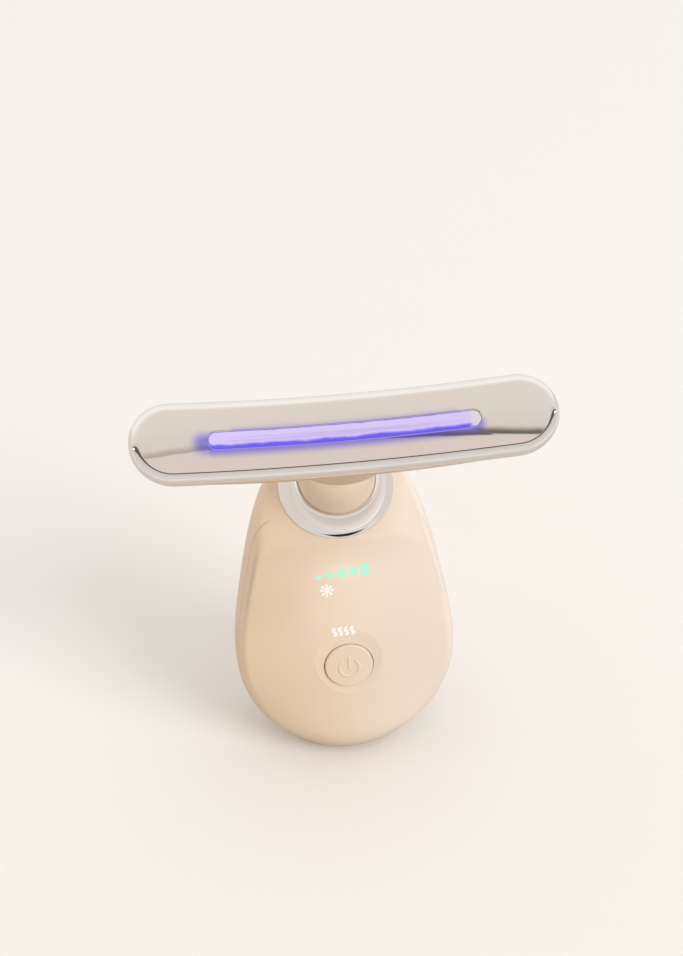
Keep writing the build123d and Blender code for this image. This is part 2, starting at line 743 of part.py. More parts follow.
def motor_boot():
    """Rubber boot between the motor and the spigot, with a channel for the wires."""
    outer = SPIGOT_BORE_RADIUS - BOOT_GAP
    boot = tube(NECK, (0, 0), outer, MOTOR_RADIUS + BOOT_GAP, -SPIGOT_LENGTH, BOOT_HIGH)
    return boot - block(NECK, (-2.6, 2.6), (3.0, 8.0), (-SPIGOT_LENGTH, BOOT_HIGH))


def motor_shaft():
    """Spinning shaft of the motor."""
    return rod(NECK, (0, 0), SHAFT_RADIUS, -1 + SHAFT_GAP, SHAFT_HIGH)


def motor_weight():
    """Off-centre half disc on the shaft."""
    disc = rod(NECK, (0, 0), WEIGHT_RADIUS, WEIGHT_LOW, WEIGHT_HIGH)
    disc -= block(NECK, (-5, 5), (1.0, 5), (WEIGHT_LOW, WEIGHT_HIGH))
    return disc - rod(NECK, (0, 0), SHAFT_RADIUS, WEIGHT_LOW, WEIGHT_HIGH)


def head_harness():
    """Round cable from its plug, past the motor and up the stem to the light strip."""
    strip_back = -STRIP_DEPTH - STRIP_THICKNESS
    points = [
        at(FACE, HARNESS_PLUG_X, PLUG_HIGH + SOLDER_GAP, HARNESS_DEPTH),
        at(FACE, HARNESS_PLUG_X, BOARD_HIGH + 0.5, HARNESS_DEPTH),
        at(NECK, 0, HARNESS_OFFSET, MOTOR_LOW - 1.8),
        at(NECK, 0, HARNESS_OFFSET, SHAFT_HIGH),
        at(HEAD, 0, 0, strip_back - 4.8),
        at(HEAD, 0, 0, strip_back - SOLDER_GAP),
    ]
    return lead(points, HARNESS_RADIUS, HARNESS_BEND)


# ---------------------------------------------------------------- export

if __name__ == "__main__":
    os.makedirs("parts", exist_ok=True)
    form = handle_form(0)
    cavity = handle_cavity()
    export_step(front_shell(form, cavity), "parts/front_shell.step")
    export_step(rear_shell(form, cavity), "parts/rear_shell.step")
    export_step(power_button(), "parts/power_button.step")
    export_step(switch_plunger(), "parts/switch_plunger.step")
    export_step(switch_body(), "parts/switch_body.step")
    export_step(main_board(), "parts/main_board.step")
    export_step(board_components(), "parts/board_components.step")
    export_step(board_screws(), "parts/board_screws.step")
    export_step(indicator_leds(), "parts/indicator_leds.step")
    export_step(indicator_frame(), "parts/indicator_frame.step")
    export_step(indicator_film(), "parts/indicator_film.step")
    export_step(battery_cell(), "parts/battery_cell.step")
    export_step(battery_pad(), "parts/battery_pad.step")
    export_step(board_plug(PLUG_X, 6.0), "parts/battery_plug.step")
    export_step(board_plug(HARNESS_PLUG_X, 8.0), "parts/harness_plug.step")
    export_step(battery_leads(), "parts/battery_leads.step")
    export_step(charging_board(), "parts/charging_board.step")
    export_step(charging_screws(), "parts/charging_screws.step")
    export_step(charging_socket(), "parts/charging_socket.step")
    export_step(socket_tongue(), "parts/socket_tongue.step")
    export_step(charging_leads(), "parts/charging_leads.step")
    export_step(neck_collar(), "parts/neck_collar.step")
    export_step(neck_clip(), "parts/neck_clip.step")
    export_step(head_cradle(), "parts/head_cradle.step")
    export_step(massage_plate(), "parts/massage_plate.step")
    export_step(light_window(), "parts/light_window.step")
    export_step(light_strip(), "parts/light_strip.step")
    export_step(light_leds(), "parts/light_leds.step")
    export_step(strip_screws(), "parts/strip_screws.step")
    export_step(heater_film(), "parts/heater_film.step")
    export_step(thermistor(), "parts/thermistor.step")
    export_step(head_seal(), "parts/head_seal.step")
    export_step(motor_can(), "parts/motor_can.step")
    export_step(motor_boot(), "parts/motor_boot.step")
    export_step(motor_shaft(), "parts/motor_shaft.step")
    export_step(motor_weight(), "parts/motor_weight.step")
    export_step(head_harness(), "parts/head_harness.step")
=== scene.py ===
"""Facial toning device on a pale table: a drop-shaped beige handle with a chrome collar, and a
bowed chrome head with a lit window on a leaning stem."""

from math import cos, hypot, pi, radians, sin, sqrt

import bmesh
import bpy
from mathutils import Matrix, Vector
from mathutils.bvhtree import BVHTree


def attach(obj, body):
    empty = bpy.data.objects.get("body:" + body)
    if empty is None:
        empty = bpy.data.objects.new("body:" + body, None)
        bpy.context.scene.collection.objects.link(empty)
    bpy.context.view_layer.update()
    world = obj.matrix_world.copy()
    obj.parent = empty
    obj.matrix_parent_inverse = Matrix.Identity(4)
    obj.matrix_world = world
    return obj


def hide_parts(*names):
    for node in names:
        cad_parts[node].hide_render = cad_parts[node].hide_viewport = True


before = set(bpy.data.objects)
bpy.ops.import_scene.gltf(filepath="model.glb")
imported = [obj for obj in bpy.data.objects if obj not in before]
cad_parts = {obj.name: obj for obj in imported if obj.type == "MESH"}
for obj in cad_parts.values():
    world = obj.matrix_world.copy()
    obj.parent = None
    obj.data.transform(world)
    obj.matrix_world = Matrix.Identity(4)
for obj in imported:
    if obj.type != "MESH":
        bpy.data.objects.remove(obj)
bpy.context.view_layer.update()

MM = 0.001

# Frames on the symmetry plane, as in the solids: origin (y, z) in mm and the elevation of
# the outward normal in degrees.
FACE = (-10.3, 30.3, 15.3)
NECK = (12.75, 71.7, 64.5)
HEAD = (-12.4, 108.4, 52.3)


def tilted(spec):
    """Matrix from a tilted frame in mm to the device in metres."""
    y, z, elevation = spec
    c, s = cos(radians(elevation)), sin(radians(elevation))
    turn = Matrix(((1, 0, 0), (0, s, -c), (0, c, s))).to_4x4()
    return Matrix.Translation((0, y * MM, z * MM)) @ turn @ Matrix.Scale(MM, 4)


# ---------------------------------------------------------------- mesh helpers


def piece(name, verts, faces, material, matrix, body, angle=35):
    """Mesh piece from points in a frame, shaded smooth up to an angle, on its body."""
    mesh = bpy.data.meshes.new(name)
    mesh.from_pydata([tuple(v) for v in verts], [], faces)
    mesh.transform(matrix)
    mesh.materials.append(material)
    bm = bmesh.new()
    bm.from_mesh(mesh)
    bmesh.ops.recalc_face_normals(bm, faces=bm.faces)
    for edge in bm.edges:
        edge.smooth = len(edge.link_faces) < 2 or edge.calc_face_angle() < radians(angle)
    for face in bm.faces:
        face.smooth = True
    bm.to_mesh(mesh)
    bm.free()
    thing = bpy.data.objects.new(name, mesh)
    bpy.context.scene.collection.objects.link(thing)
    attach(thing, body)
    return thing


def skin(rings, closed=False):
    """Points and quads of a skin through equal rings, joined end to end where closed."""
    count = len(rings[0])
    verts = [p for ring in rings for p in ring]
    pairs = [(i, i + 1) for i in range(len(rings) - 1)]
    if closed:
        pairs.append((len(rings) - 1, 0))
    faces = []
    for a, b in pairs:
        for k in range(count):
            n = (k + 1) % count
            faces.append((a * count + k, a * count + n, b * count + n, b * count + k))
    return verts, faces


def lathe(profile, steps):
    """Rings of a turned shape about z through (radius, height) pairs."""
    turns = [2 * pi * k / steps for k in range(steps)]
    return [[(r * cos(t), r * sin(t), z) for t in turns] for r, z in profile]


def arc(centre, radius, start, end, steps):
    """Points of a circular arc between two angles in degrees."""
    angles = [radians(start + (end - start) * k / steps) for k in range(steps + 1)]
    return [(centre[0] + radius * cos(a), centre[1] + radius * sin(a)) for a in angles]


# ---------------------------------------------------------------- node helpers


def linear(code):
    """Linear colour from an sRGB hex code."""
    parts = [int(code[k : k + 2], 16) / 255 for k in (1, 3, 5)]
    parts = [p / 12.92 if p <= 0.04045 else ((p + 0.055) / 1.055) ** 2.4 for p in parts]
    return (*parts, 1.0)


def add(tree, kind, sockets=None, **settings):
    """Adds a node, sets its properties, and fills or links its sockets.

    A node given for a socket stands for its first output. A colour mix has its two colours in
    sockets 6 and 7 and its result in output 2.
    """
    node = tree.nodes.new(kind)
    for name, value in settings.items():
        setattr(node, name, value)
    for name, value in (sockets or {}).items():
        if isinstance(value, bpy.types.Node):
            value = value.outputs[0]
        if isinstance(value, bpy.types.NodeSocket):
            tree.links.new(value, node.inputs[name])
        else:
            node.inputs[name].default_value = value
    return node


def blank(name):
    """Empty material tree, and the place of each point in mm."""
    material = bpy.data.materials.new(name)
    material.use_nodes = True
    tree = material.node_tree
    tree.nodes.clear()
    place = add(tree, "ShaderNodeTexCoord").outputs["Object"]
    spot = add(tree, "ShaderNodeVectorMath", {0: place, 1: (1 / MM,) * 3}, operation="MULTIPLY")
    return material, tree, spot


def surface(tree, sockets):
    """Shader of a surface from its sockets, sent to the material's output."""
    shader = add(tree, "ShaderNodeBsdfPrincipled", sockets)
    add(tree, "ShaderNodeOutputMaterial", {"Surface": shader})


def product(tree, *values):
    """Product of several values."""
    result = values[0]
    for value in values[1:]:
        result = add(tree, "ShaderNodeMath", {0: result, 1: value}, operation="MULTIPLY")
    return result


def apart(tree, value, middle):
    """How far a value is from a middle one, to either side."""
    away = add(tree, "ShaderNodeMath", {0: value, 1: middle}, operation="SUBTRACT")
    return add(tree, "ShaderNodeMath", {0: away}, operation="ABSOLUTE")


def fade(tree, distance, near, far):
    """1 nearer than one distance, falling smoothly to 0 at another."""
    return add(
        tree,
        "ShaderNodeMapRange",
        {"Value": distance, "From Min": near, "From Max": far, "To Min": 1.0, "To Max": 0.0},
        interpolation_type="SMOOTHSTEP",
    )


def band(tree, value, middle, half, soft):
    """1 where a value lies within a band, fading to 0 over its soft edge."""
    return fade(tree, apart(tree, value, middle), half, half + soft)


def to_frame(tree, spot, spec):
    """Place of a point in a tilted frame, in mm."""
    y, z, elevation = spec
    shifted = add(tree, "ShaderNodeVectorMath", {0: spot, 1: (0, y, z)}, operation="SUBTRACT")
    return add(
        tree,
        "ShaderNodeVectorRotate",
        {"Vector": shifted, "Angle": radians(elevation) - pi / 2},
        rotation_type="X_AXIS",
    )


def slot_distance(tree, axes, middle, half):
    """Distance in mm from a line along x of a frame, given its middle and half length."""
    along = apart(tree, axes.outputs["X"], middle[0])
    along = add(tree, "ShaderNodeMath", {0: along, 1: half}, operation="SUBTRACT")
    along = add(tree, "ShaderNodeMath", {0: along, 1: 0.0}, operation="MAXIMUM")
    across = add(
        tree, "ShaderNodeMath", {0: axes.outputs["Y"], 1: middle[1]}, operation="SUBTRACT"
    )
    away = add(tree, "ShaderNodeCombineXYZ", {"X": along, "Y": across})
    away = add(tree, "ShaderNodeVectorMath", {0: away}, operation="LENGTH")
    return away.outputs["Value"]


def glow_round(tree, place, centre, stretch, reach):
    """Soft round glow about a point of a frame, 1 in the middle and 0 at its reach in mm."""
    away = add(tree, "ShaderNodeVectorMath", {0: place, 1: (*centre, 0)}, operation="SUBTRACT")
    away = add(tree, "ShaderNodeVectorMath", {0: away, 1: (*stretch, 0)}, operation="MULTIPLY")
    away = add(tree, "ShaderNodeVectorMath", {0: away}, operation="LENGTH")
    return add(
        tree,
        "ShaderNodeMapRange",
        {"Value": away.outputs["Value"], "From Max": reach, "To Min": 1.0, "To Max": 0.0},
        interpolation_type="SMOOTHERSTEP",
    )


# ---------------------------------------------------------------- materials

# Marks that shine through the face: centres in the face frame, in mm.
LEVEL_SPOT = (-0.6, 27.8)
LAMP_SPOT = (-4.6, 22.9)
HEAT_SPOT = (-1.0, 10.6)

BLOOM_LEVEL = 0.07  # light that soaks through about all the marks
MINT_LEVEL = 0.08  # and more of it about the level bars

MOTTLE = 0.08  # how much darker the mottles of a plain finish are

# Shoulders of the face: how far the surface looks ahead, and the heights on the face in mm,
# between which its shading is eased; then the sideways roll for each mm, and the tilt back and
# the heights over which it comes.
SHOULDER_AHEAD = (0.3, 0.66)
SHOULDER_HEIGHTS = (4.0, 26.0)
SHOULDER_ROLL = 0.013
SHOULDER_TILT = 0.62
TILT_HEIGHTS = (18.0, 40.0)

ABS_GRAIN = 3.2  # grains to a mm; the real grain is some three times finer, too fine to show
# The third beige is a painted sheen: the paler tone that the side facing the light takes on.
BEIGE, BEIGE_LIGHT, BEIGE_PAINTED_SHEEN = "#ECD1B2", "#EFD6BA", "#EEDFD0"
# Painted shade on the front of the saddle above the stem.
BEIGE_PAINTED_SHADE = "#D2BEA2"
PAINTED_SHEEN_ACROSS = (-20.0, 24.0)  # x in mm over which a painted sheen makes the beige paler
STEM_END = (-17.0, -16.6)  # depth in mm behind the head's face where the stem meets the saddle
STEM_FRONT = (-7.0, 1.0)  # y in mm over which the stem's front turns to its back, where the painted light and shade fade out
# Strength of the painted light on the stem's front, standing in for light the collar and table
# throw up.
STEM_PAINTED_LIGHT = 0.15

CHROME = "#F2ECE6"
# Painted violet glow of the window's lamps on the chrome, along the window's lower edge, its
# upper edge and at one end: middle and half length of a line in the head frame, the distances
# from it in mm between which the violet fades, and its level there. The last number is the
# level of all.
PAINTED_SPILLS = (
    ((-0.2, -1.5), 28.6, 0.6, 3.0, 1.0),
    ((0.0, 1.9), 24.0, 0.0, 1.5, 0.4),
    ((-30.0, -0.6), 0.6, 0.6, 3.6, 1.0),
)
PAINTED_SPILL_LEVEL = 0.68
# Painted reflection of something dark on the collar, a dark sickle: its radius and greatest
# half width in mm, the angle of its middle from the front, the angles to either side of that
# between which it thins out, and where its soft edge starts and ends in mm.
SICKLE_RADIUS = 13.88
SICKLE_HALF = 0.27
SICKLE_MIDDLE = 0.05
SICKLE_ENDS = (0.05, 0.52)
SICKLE_EDGE = (-0.08, 0.03)


def plain(name, code, roughness, metallic=0.0, grain=0.4, relief=0.02):
    """Moulded, cast or rolled finish: mottles about 8 mm wide, uneven gloss, a grain in mm."""
    material, tree, spot = blank(name)
    wide = add(tree, "ShaderNodeTexNoise", {"Vector": spot, "Scale": 0.12, "Detail": 3.0})
    fine = add(tree, "ShaderNodeTexNoise", {"Vector": spot, "Scale": 1 / grain, "Detail": 2.0})
    dark = tuple(c * (1 - MOTTLE) for c in linear(code)[:3]) + (1.0,)
    colour = add(
        tree,
        "ShaderNodeMix",
        {"Factor": wide, 6: dark, 7: linear(code)},
        data_type="RGBA",
    )
    gloss = add(
        tree,
        "ShaderNodeMapRange",
        {"Value": wide, "To Min": roughness * 0.85, "To Max": roughness * 1.15},
    )
    bump = add(
        tree, "ShaderNodeBump", {"Height": fine, "Strength": 0.5, "Distance": relief * MM}
    )
    surface(
        tree,
        {
            "Base Color": colour.outputs[2],
            "Roughness": gloss,
            "Metallic": metallic,
            "Normal": bump,
        },
    )
    return material


def eased_normal(tree, place):
    """Normal of the surface, eased towards an even sideways roll on the face's shoulders.

    The form turns there from the flat face to the seat slope, and this softens how that shows.
    """
    raw = add(tree, "ShaderNodeNewGeometry").outputs["Normal"]
    c, s = cos(radians(FACE[2])), sin(radians(FACE[2]))
    ahead = add(
        tree, "ShaderNodeVectorMath", {0: raw, 1: (0.0, -c, s)}, operation="DOT_PRODUCT"
    ).outputs["Value"]
    axes = add(tree, "ShaderNodeSeparateXYZ", {0: place})
    faces, high = (
        add(
            tree,
            "ShaderNodeMapRange",
            {"Value": value, "From Min": low, "From Max": full},
            interpolation_type="SMOOTHSTEP",
        )
        for value, (low, full) in (
            (ahead, SHOULDER_AHEAD),
            (axes.outputs["Y"], SHOULDER_HEIGHTS),
        )
    )
    roll = product(tree, axes.outputs["X"], SHOULDER_ROLL)
    rise = add(
        tree,
        "ShaderNodeMapRange",
        {
            "Value": axes.outputs["Y"],
            "From Min": TILT_HEIGHTS[0],
            "From Max": TILT_HEIGHTS[1],
            "To Max": SHOULDER_TILT,
        },
        interpolation_type="SMOOTHSTEP",
    )
    back = add(tree, "ShaderNodeMath", {0: rise, 1: s, 2: -c}, operation="MULTIPLY_ADD")
    up = add(tree, "ShaderNodeMath", {0: rise, 1: c, 2: s}, operation="MULTIPLY_ADD")
    even = add(tree, "ShaderNodeCombineXYZ", {"X": roll, "Y": back, "Z": up})
    mixed = add(
        tree,
        "ShaderNodeMix",
        {"Factor": product(tree, faces, high), 4: raw, 5: even},
        data_type="VECTOR",
    )
    return add(tree, "ShaderNodeVectorMath", {0: mixed.outputs[1]}, operation="NORMALIZE")


def lamp_bloom(tree, spot):
    """Sockets for lamp light that soaks through the face: pinkish, mint about the level bars."""
    place = to_frame(tree, spot, FACE)
    pale = glow_round(tree, place, centre=(0.0, 19.0), stretch=(1.0, 0.8), reach=20.0)
    mint = glow_round(tree, place, centre=LEVEL_SPOT, stretch=(0.45, 1.0), reach=4.2)
    light = add(
        tree,
        "ShaderNodeMix",
        {"Factor": mint, 6: linear("#F2ECF4"), 7: linear("#B4F0D8")},
        data_type="RGBA",
    )
    strength = add(
        tree,
        "ShaderNodeMath",
        {0: mint, 1: MINT_LEVEL, 2: product(tree, pale, BLOOM_LEVEL)},
        operation="MULTIPLY_ADD",
    )
    return {"Emission Color": light.outputs[2], "Emission Strength": strength}


def moulded_abs(name, lit=False, stem=False):
    """ABS moulded in a spark-eroded tool: warm beige, satin, with a fine even grain.

    A painted sheen makes it paler across to one side. Where lamps sit behind the thin wall,
    their light soaks through as a faint bloom. On the stem a faint painted light of its own
    stands in for light that the collar and table throw up at its front, and painted shade
    makes the saddle above it darker at the front.
    """
    material, tree, spot = blank(name)
    wide = add(tree, "ShaderNodeTexNoise", {"Vector": spot, "Scale": 0.05, "Detail": 2.0})
    axes = add(tree, "ShaderNodeSeparateXYZ", {0: spot})
    # Painted sheen: the beige turns paler towards +x, the side the light falls from.
    pale = add(
        tree,
        "ShaderNodeMapRange",
        {
            "Value": axes.outputs["X"],
            "From Min": PAINTED_SHEEN_ACROSS[0],
            "From Max": PAINTED_SHEEN_ACROSS[1],
        },
        interpolation_type="SMOOTHSTEP",
    )
    colour = add(
        tree,
        "ShaderNodeMix",
        {"Factor": wide, 6: linear(BEIGE), 7: linear(BEIGE_LIGHT)},
        data_type="RGBA",
    )
    colour = add(
        tree,
        "ShaderNodeMix",
        {"Factor": pale, 6: colour.outputs[2], 7: linear(BEIGE_PAINTED_SHEEN)},
        data_type="RGBA",
    )
    grain = add(tree, "ShaderNodeTexNoise", {"Vector": spot, "Scale": ABS_GRAIN, "Detail": 3.0})
    gloss = add(tree, "ShaderNodeMapRange", {"Value": grain, "To Min": 0.34, "To Max": 0.46})
    relief = {"Height": grain, "Strength": 0.3, "Distance": 0.015 * MM}
    glow = lamp_bloom(tree, spot) if lit else {}
    if stem:
        # Painted shade darkens the saddle's front above the stem's end, and painted light glows
        # on the stem's front below it.
        depth = add(tree, "ShaderNodeSeparateXYZ", {0: to_frame(tree, spot, HEAD)})
        below = add(
            tree,
            "ShaderNodeMapRange",
            {
                "Value": depth.outputs["Z"],
                "From Min": STEM_END[0],
                "From Max": STEM_END[1],
                "To Min": 1.0,
                "To Max": 0.0,
            },
        )
        above = add(tree, "ShaderNodeMath", {0: 1.0, 1: below}, operation="SUBTRACT")
        ahead = fade(tree, axes.outputs["Y"], *STEM_FRONT)
        colour = add(
            tree,
            "ShaderNodeMix",
            {
                "Factor": product(tree, ahead, above),
                6: colour.outputs[2],
                7: linear(BEIGE_PAINTED_SHADE),
            },
            data_type="RGBA",
        )
        glow = {
            "Emission Color": linear("#F2DAC0"),
            "Emission Strength": product(tree, ahead, below, STEM_PAINTED_LIGHT),
        }
    else:
        relief["Normal"] = eased_normal(tree, to_frame(tree, spot, FACE))
    surface(
        tree,
        {
            "Base Color": colour.outputs[2],
            "Roughness": gloss,
            "Normal": add(tree, "ShaderNodeBump", relief),
            **glow,
        },
    )
    return material


def painted_window_glow(tree, spot):
    """Share of the painted violet glow of the window on the chrome: along its lower and upper
    edge and one end.
    """
    axes = add(tree, "ShaderNodeSeparateXYZ", {0: to_frame(tree, spot, HEAD)})
    most = 0.0
    for middle, half, near, far, level in PAINTED_SPILLS:
        share = fade(tree, slot_distance(tree, axes, middle, half), near, far)
        share = product(tree, share, level)
        most = add(tree, "ShaderNodeMath", {0: most, 1: share}, operation="MAXIMUM")
    return product(tree, most, PAINTED_SPILL_LEVEL)


def painted_sickle_reflection(tree, spot):
    """1 on a painted dark reflection, a thin sickle at the collar's front just inside the rim,
    and 0 off it.
    """
    # Painted reflection: the dark sickle is placed by the collar's own angle and radius.
    axes = add(tree, "ShaderNodeSeparateXYZ", {0: to_frame(tree, spot, NECK)})
    x, y = axes.outputs["X"], axes.outputs["Y"]
    angle = add(tree, "ShaderNodeMath", {0: x, 1: product(tree, y, -1.0)}, operation="ARCTAN2")
    taper = fade(tree, apart(tree, angle, SICKLE_MIDDLE), *SICKLE_ENDS)
    radius = add(tree, "ShaderNodeCombineXYZ", {"X": x, "Y": y})
    radius = add(tree, "ShaderNodeVectorMath", {0: radius}, operation="LENGTH")
    away = apart(tree, radius.outputs["Value"], SICKLE_RADIUS)
    away = add(
        tree,
        "ShaderNodeMath",
        {0: taper, 1: -SICKLE_HALF, 2: away},
        operation="MULTIPLY_ADD",
    )
    return fade(tree, away, *SICKLE_EDGE)


def chrome_plating(name, lit=False, ring=False):
    """Bright chrome over plastic: mirror finish, smears 11 mm wide and a soft 4 mm ripple.

    Beside the window a painted violet glow stands in for the light of its lamps, deepest along
    the lower edge.
    On the ring a dark sickle stands in for the reflection of something dark before it.
    """
    material, tree, spot = blank(name)
    smear = add(tree, "ShaderNodeTexNoise", {"Vector": spot, "Scale": 0.09, "Detail": 4.0})
    gloss = add(tree, "ShaderNodeMapRange", {"Value": smear, "To Min": 0.003, "To Max": 0.024})
    ripple = add(tree, "ShaderNodeTexNoise", {"Vector": spot, "Scale": 0.25, "Detail": 1.0})
    bump = add(
        tree, "ShaderNodeBump", {"Height": ripple, "Strength": 0.2, "Distance": 0.004 * MM}
    )
    sockets = {
        "Base Color": linear(CHROME),
        "Metallic": 1.0,
        "Roughness": gloss,
        "Normal": bump,
    }
    # On the head a painted violet glow, on the collar a painted dark reflection, mixed into the
    # chrome's colour.
    if lit or ring:
        share = painted_window_glow(tree, spot) if lit else painted_sickle_reflection(tree, spot)
        painted_tint = add(
            tree,
            "ShaderNodeMix",
            {"Factor": share, 6: linear(CHROME), 7: linear("#5A49E0" if lit else "#2B2B33")},
            data_type="RGBA",
        )
        sockets["Base Color"] = painted_tint.outputs[2]
    # Painted glow: the violet beside the window also shines as emission.
    if lit:
        sockets["Emission Color"] = linear("#4B35E8")
        sockets["Emission Strength"] = product(tree, share, 0.2)
    surface(tree, sockets)
    return material


def frosted_polycarbonate(name):
    """Frosted polycarbonate light bar: milky lavender where lit, deeper violet towards its
    cloudy edge, and pale grey at its dark end."""
    material, tree, spot = blank(name)
    axes = add(tree, "ShaderNodeSeparateXYZ", {0: to_frame(tree, spot, HEAD)})
    lit = fade(tree, axes.outputs["X"], near=26.6, far=28.2)
    cloud = add(tree, "ShaderNodeTexNoise", {"Vector": spot, "Scale": 0.3, "Detail": 2.0})
    depth = add(
        tree,
        "ShaderNodeMath",
        {0: cloud, 1: 0.9, 2: slot_distance(tree, axes, middle=(0.0, 0.4), half=28.2)},
        operation="MULTIPLY_ADD",
    )
    open_face = fade(tree, depth, near=1.55, far=2.3)
    glow, dim = (
        add(
            tree,
            "ShaderNodeMix",
            {"Factor": open_face, 6: linear(edge), 7: linear(middle)},
            data_type="RGBA",
        ).outputs[2]
        for edge, middle in (("#5A48DC", "#A493C6"), ("#3A3358", "#8F8B9A"))
    )
    body = add(
        tree,
        "ShaderNodeMix",
        {"Factor": lit, 6: linear("#D6D4D8"), 7: dim},
        data_type="RGBA",
    )
    frost = add(tree, "ShaderNodeTexNoise", {"Vector": spot, "Scale": 6.0, "Detail": 2.0})
    bump = add(
        tree, "ShaderNodeBump", {"Height": frost, "Strength": 0.3, "Distance": 0.01 * MM}
    )
    surface(
        tree,
        {
            "Base Color": body.outputs[2],
            "Roughness": 0.3,
            "IOR": 1.58,
            "Normal": bump,
            "Emission Color": glow,
            "Emission Strength": lit,
        },
    )
    return material


def lit_mark(name, code, strength):
    """Light of a lamp behind the face, seen through the thinned wall: soft and even."""
    material, tree, spot = blank(name)
    cloud = add(tree, "ShaderNodeTexNoise", {"Vector": spot, "Scale": 0.8, "Detail": 1.0})
    level = add(
        tree,
        "ShaderNodeMapRange",
        {"Value": cloud, "To Min": strength * 0.8, "To Max": strength * 1.1},
    )
    surface(
        tree,
        {
            "Base Color": linear(code),
            "Roughness": 0.45,
            "Emission Color": linear(code),
            "Emission Strength": level,
        },
    )
    return material


def solder_mask(name):
    """Glass-epoxy board under green solder mask: tracks 0.6 mm apart show as lighter ridges."""
    material, tree, spot = blank(name)
    tracks = add(
        tree,
        "ShaderNodeTexBrick",
        {
            "Vector": spot,
            "Color1": linear("#0E5A34"),
            "Color2": linear("#116B3E"),
            "Mortar": linear("#2C8A55"),
            "Scale": 0.45,
            "Mortar Size": 0.012,
        },
    )
    bump = add(
        tree,
        "ShaderNodeBump",
        {"Height": tracks.outputs["Fac"], "Strength": 0.4, "Distance": 0.03 * MM},
    )
    surface(
        tree, {"Base Color": tracks.outputs["Color"], "Roughness": 0.35, "Normal": bump}
    )
    return material


abs_face = moulded_abs("moulded_abs_face", lit=True)
abs_body = moulded_abs("moulded_abs_body")
abs_stem = moulded_abs("moulded_abs_stem", stem=True)
chrome_plate = chrome_plating("chrome_plating_head", lit=True)
chrome_collar = chrome_plating("chrome_plating_collar", ring=True)
window_glass = frosted_polycarbonate("frosted_polycarbonate")
mint_light = lit_mark("mint_light", "#A6E3CB", 0.3)
white_light = lit_mark("white_light", "#FFFBF6", 1.1)
board_green = solder_mask("solder_mask")
# Dark epoxy of moulded chips: dull, with the tool's fine grain.
epoxy = plain("moulded_epoxy", "#17171A", 0.55, grain=0.15)
# Nylon of plugs and the light shroud: white and slightly waxy.
nylon = plain("moulded_nylon", "#EDEBE4", 0.45, grain=0.5)
# Zinc-plated steel of screws, clip, socket and motor can: a grey, softly shining metal.
zinc = plain("zinc_plated_steel", "#B9BBC0", 0.3, metallic=1.0, grain=0.3)
# Cast resin over lamp chips: phosphor yellow and glossy.
resin = plain("lamp_resin", "#F2EEC2", 0.2, grain=0.6)
# Rolled diffusing film over the lamps: white, half matt.
film = plain("diffuser_film", "#ECEBE9", 0.4, grain=0.8)
# Laminated foil of the pouch cell, crinkled along its folds.
foil = plain("laminated_foil", "#B8BBC0", 0.32, metallic=1.0, grain=2.5, relief=0.15)
# Foam tape: dark and dead matt, with open pores.
foam = plain("foam_tape", "#3A3A3C", 0.9, grain=0.35, relief=0.12)
# Extruded silicone on the wires: red, slightly dusty.
silicone_red = plain("silicone_wire", "#B3261E", 0.5, grain=0.6)
# Rolled polyimide film of the light strip and heaters: clear amber, glossy.
polyimide = plain("polyimide_film", "#C47F1E", 0.25, grain=1.2)
# Dipped resin of the temperature bead: near black, glossy.
bead = plain("sensor_resin", "#1D1B1B", 0.3, grain=0.4)
# Moulded silicone rubber of boot and gasket: black, matt, slightly uneven.
rubber = plain("silicone_rubber", "#141414", 0.7, grain=0.3, relief=0.04)
# Sintered alloy of the off-centre weight: dark grey metal with a fine pressed grain.
heavy_alloy = plain("sintered_alloy", "#7C7D80", 0.42, metallic=1.0, grain=0.12)

FINISHES = {
    abs_face: ("front_shell",),
    abs_body: ("rear_shell", "power_button"),
    abs_stem: ("head_cradle",),
    chrome_plate: ("massage_plate",),
    chrome_collar: ("neck_collar",),
    window_glass: ("light_window",),
    board_green: ("main_board", "charging_board"),
    epoxy: ("board_components", "switch_body", "socket_tongue"),
    nylon: ("switch_plunger", "indicator_frame", "battery_plug", "harness_plug"),
    zinc: (
        "board_screws",
        "charging_screws",
        "charging_socket",
        "neck_clip",
        "strip_screws",
        "motor_can",
        "motor_shaft",
    ),
    resin: ("indicator_leds", "light_leds"),
    film: ("indicator_film",),
    foil: ("battery_cell",),
    foam: ("battery_pad",),
    silicone_red: ("battery_leads", "charging_leads", "head_harness"),
    polyimide: ("light_strip", "heater_film"),
    bead: ("thermistor",),
    rubber: ("head_seal", "motor_boot"),
    heavy_alloy: ("motor_weight",),
}
for material, names in FINISHES.items():
    for name in names:
        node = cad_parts[name]
        node.data.materials.clear()
        node.data.materials.append(material)

# ---------------------------------------------------------------- head

# Plate and window in mm: outlines, radius of the bow, radius of the rounded edge, depth of the
# tray and its wall. The setback keeps the skin inside the solid's box.
HEAD_LENGTH = 92.98
HEAD_WIDTH = 18.2
WINDOW_LENGTH = 59.4
WINDOW_WIDTH = 3.8
HEAD_ARC = 172.0
EDGE = 2.2
DEPTH = 2.5
WALL = 0.9
SETBACK = 0.1
END_STEPS = 40
SIDE_STEPS = 72
EDGE_STEPS = 10
FACE_STEPS = 7


def bowed(x, depth):
    """Height of the bowed face in the head frame, at a place along it and a depth behind it."""
    return HEAD_ARC - SETBACK - sqrt((HEAD_ARC + depth) ** 2 - x * x)


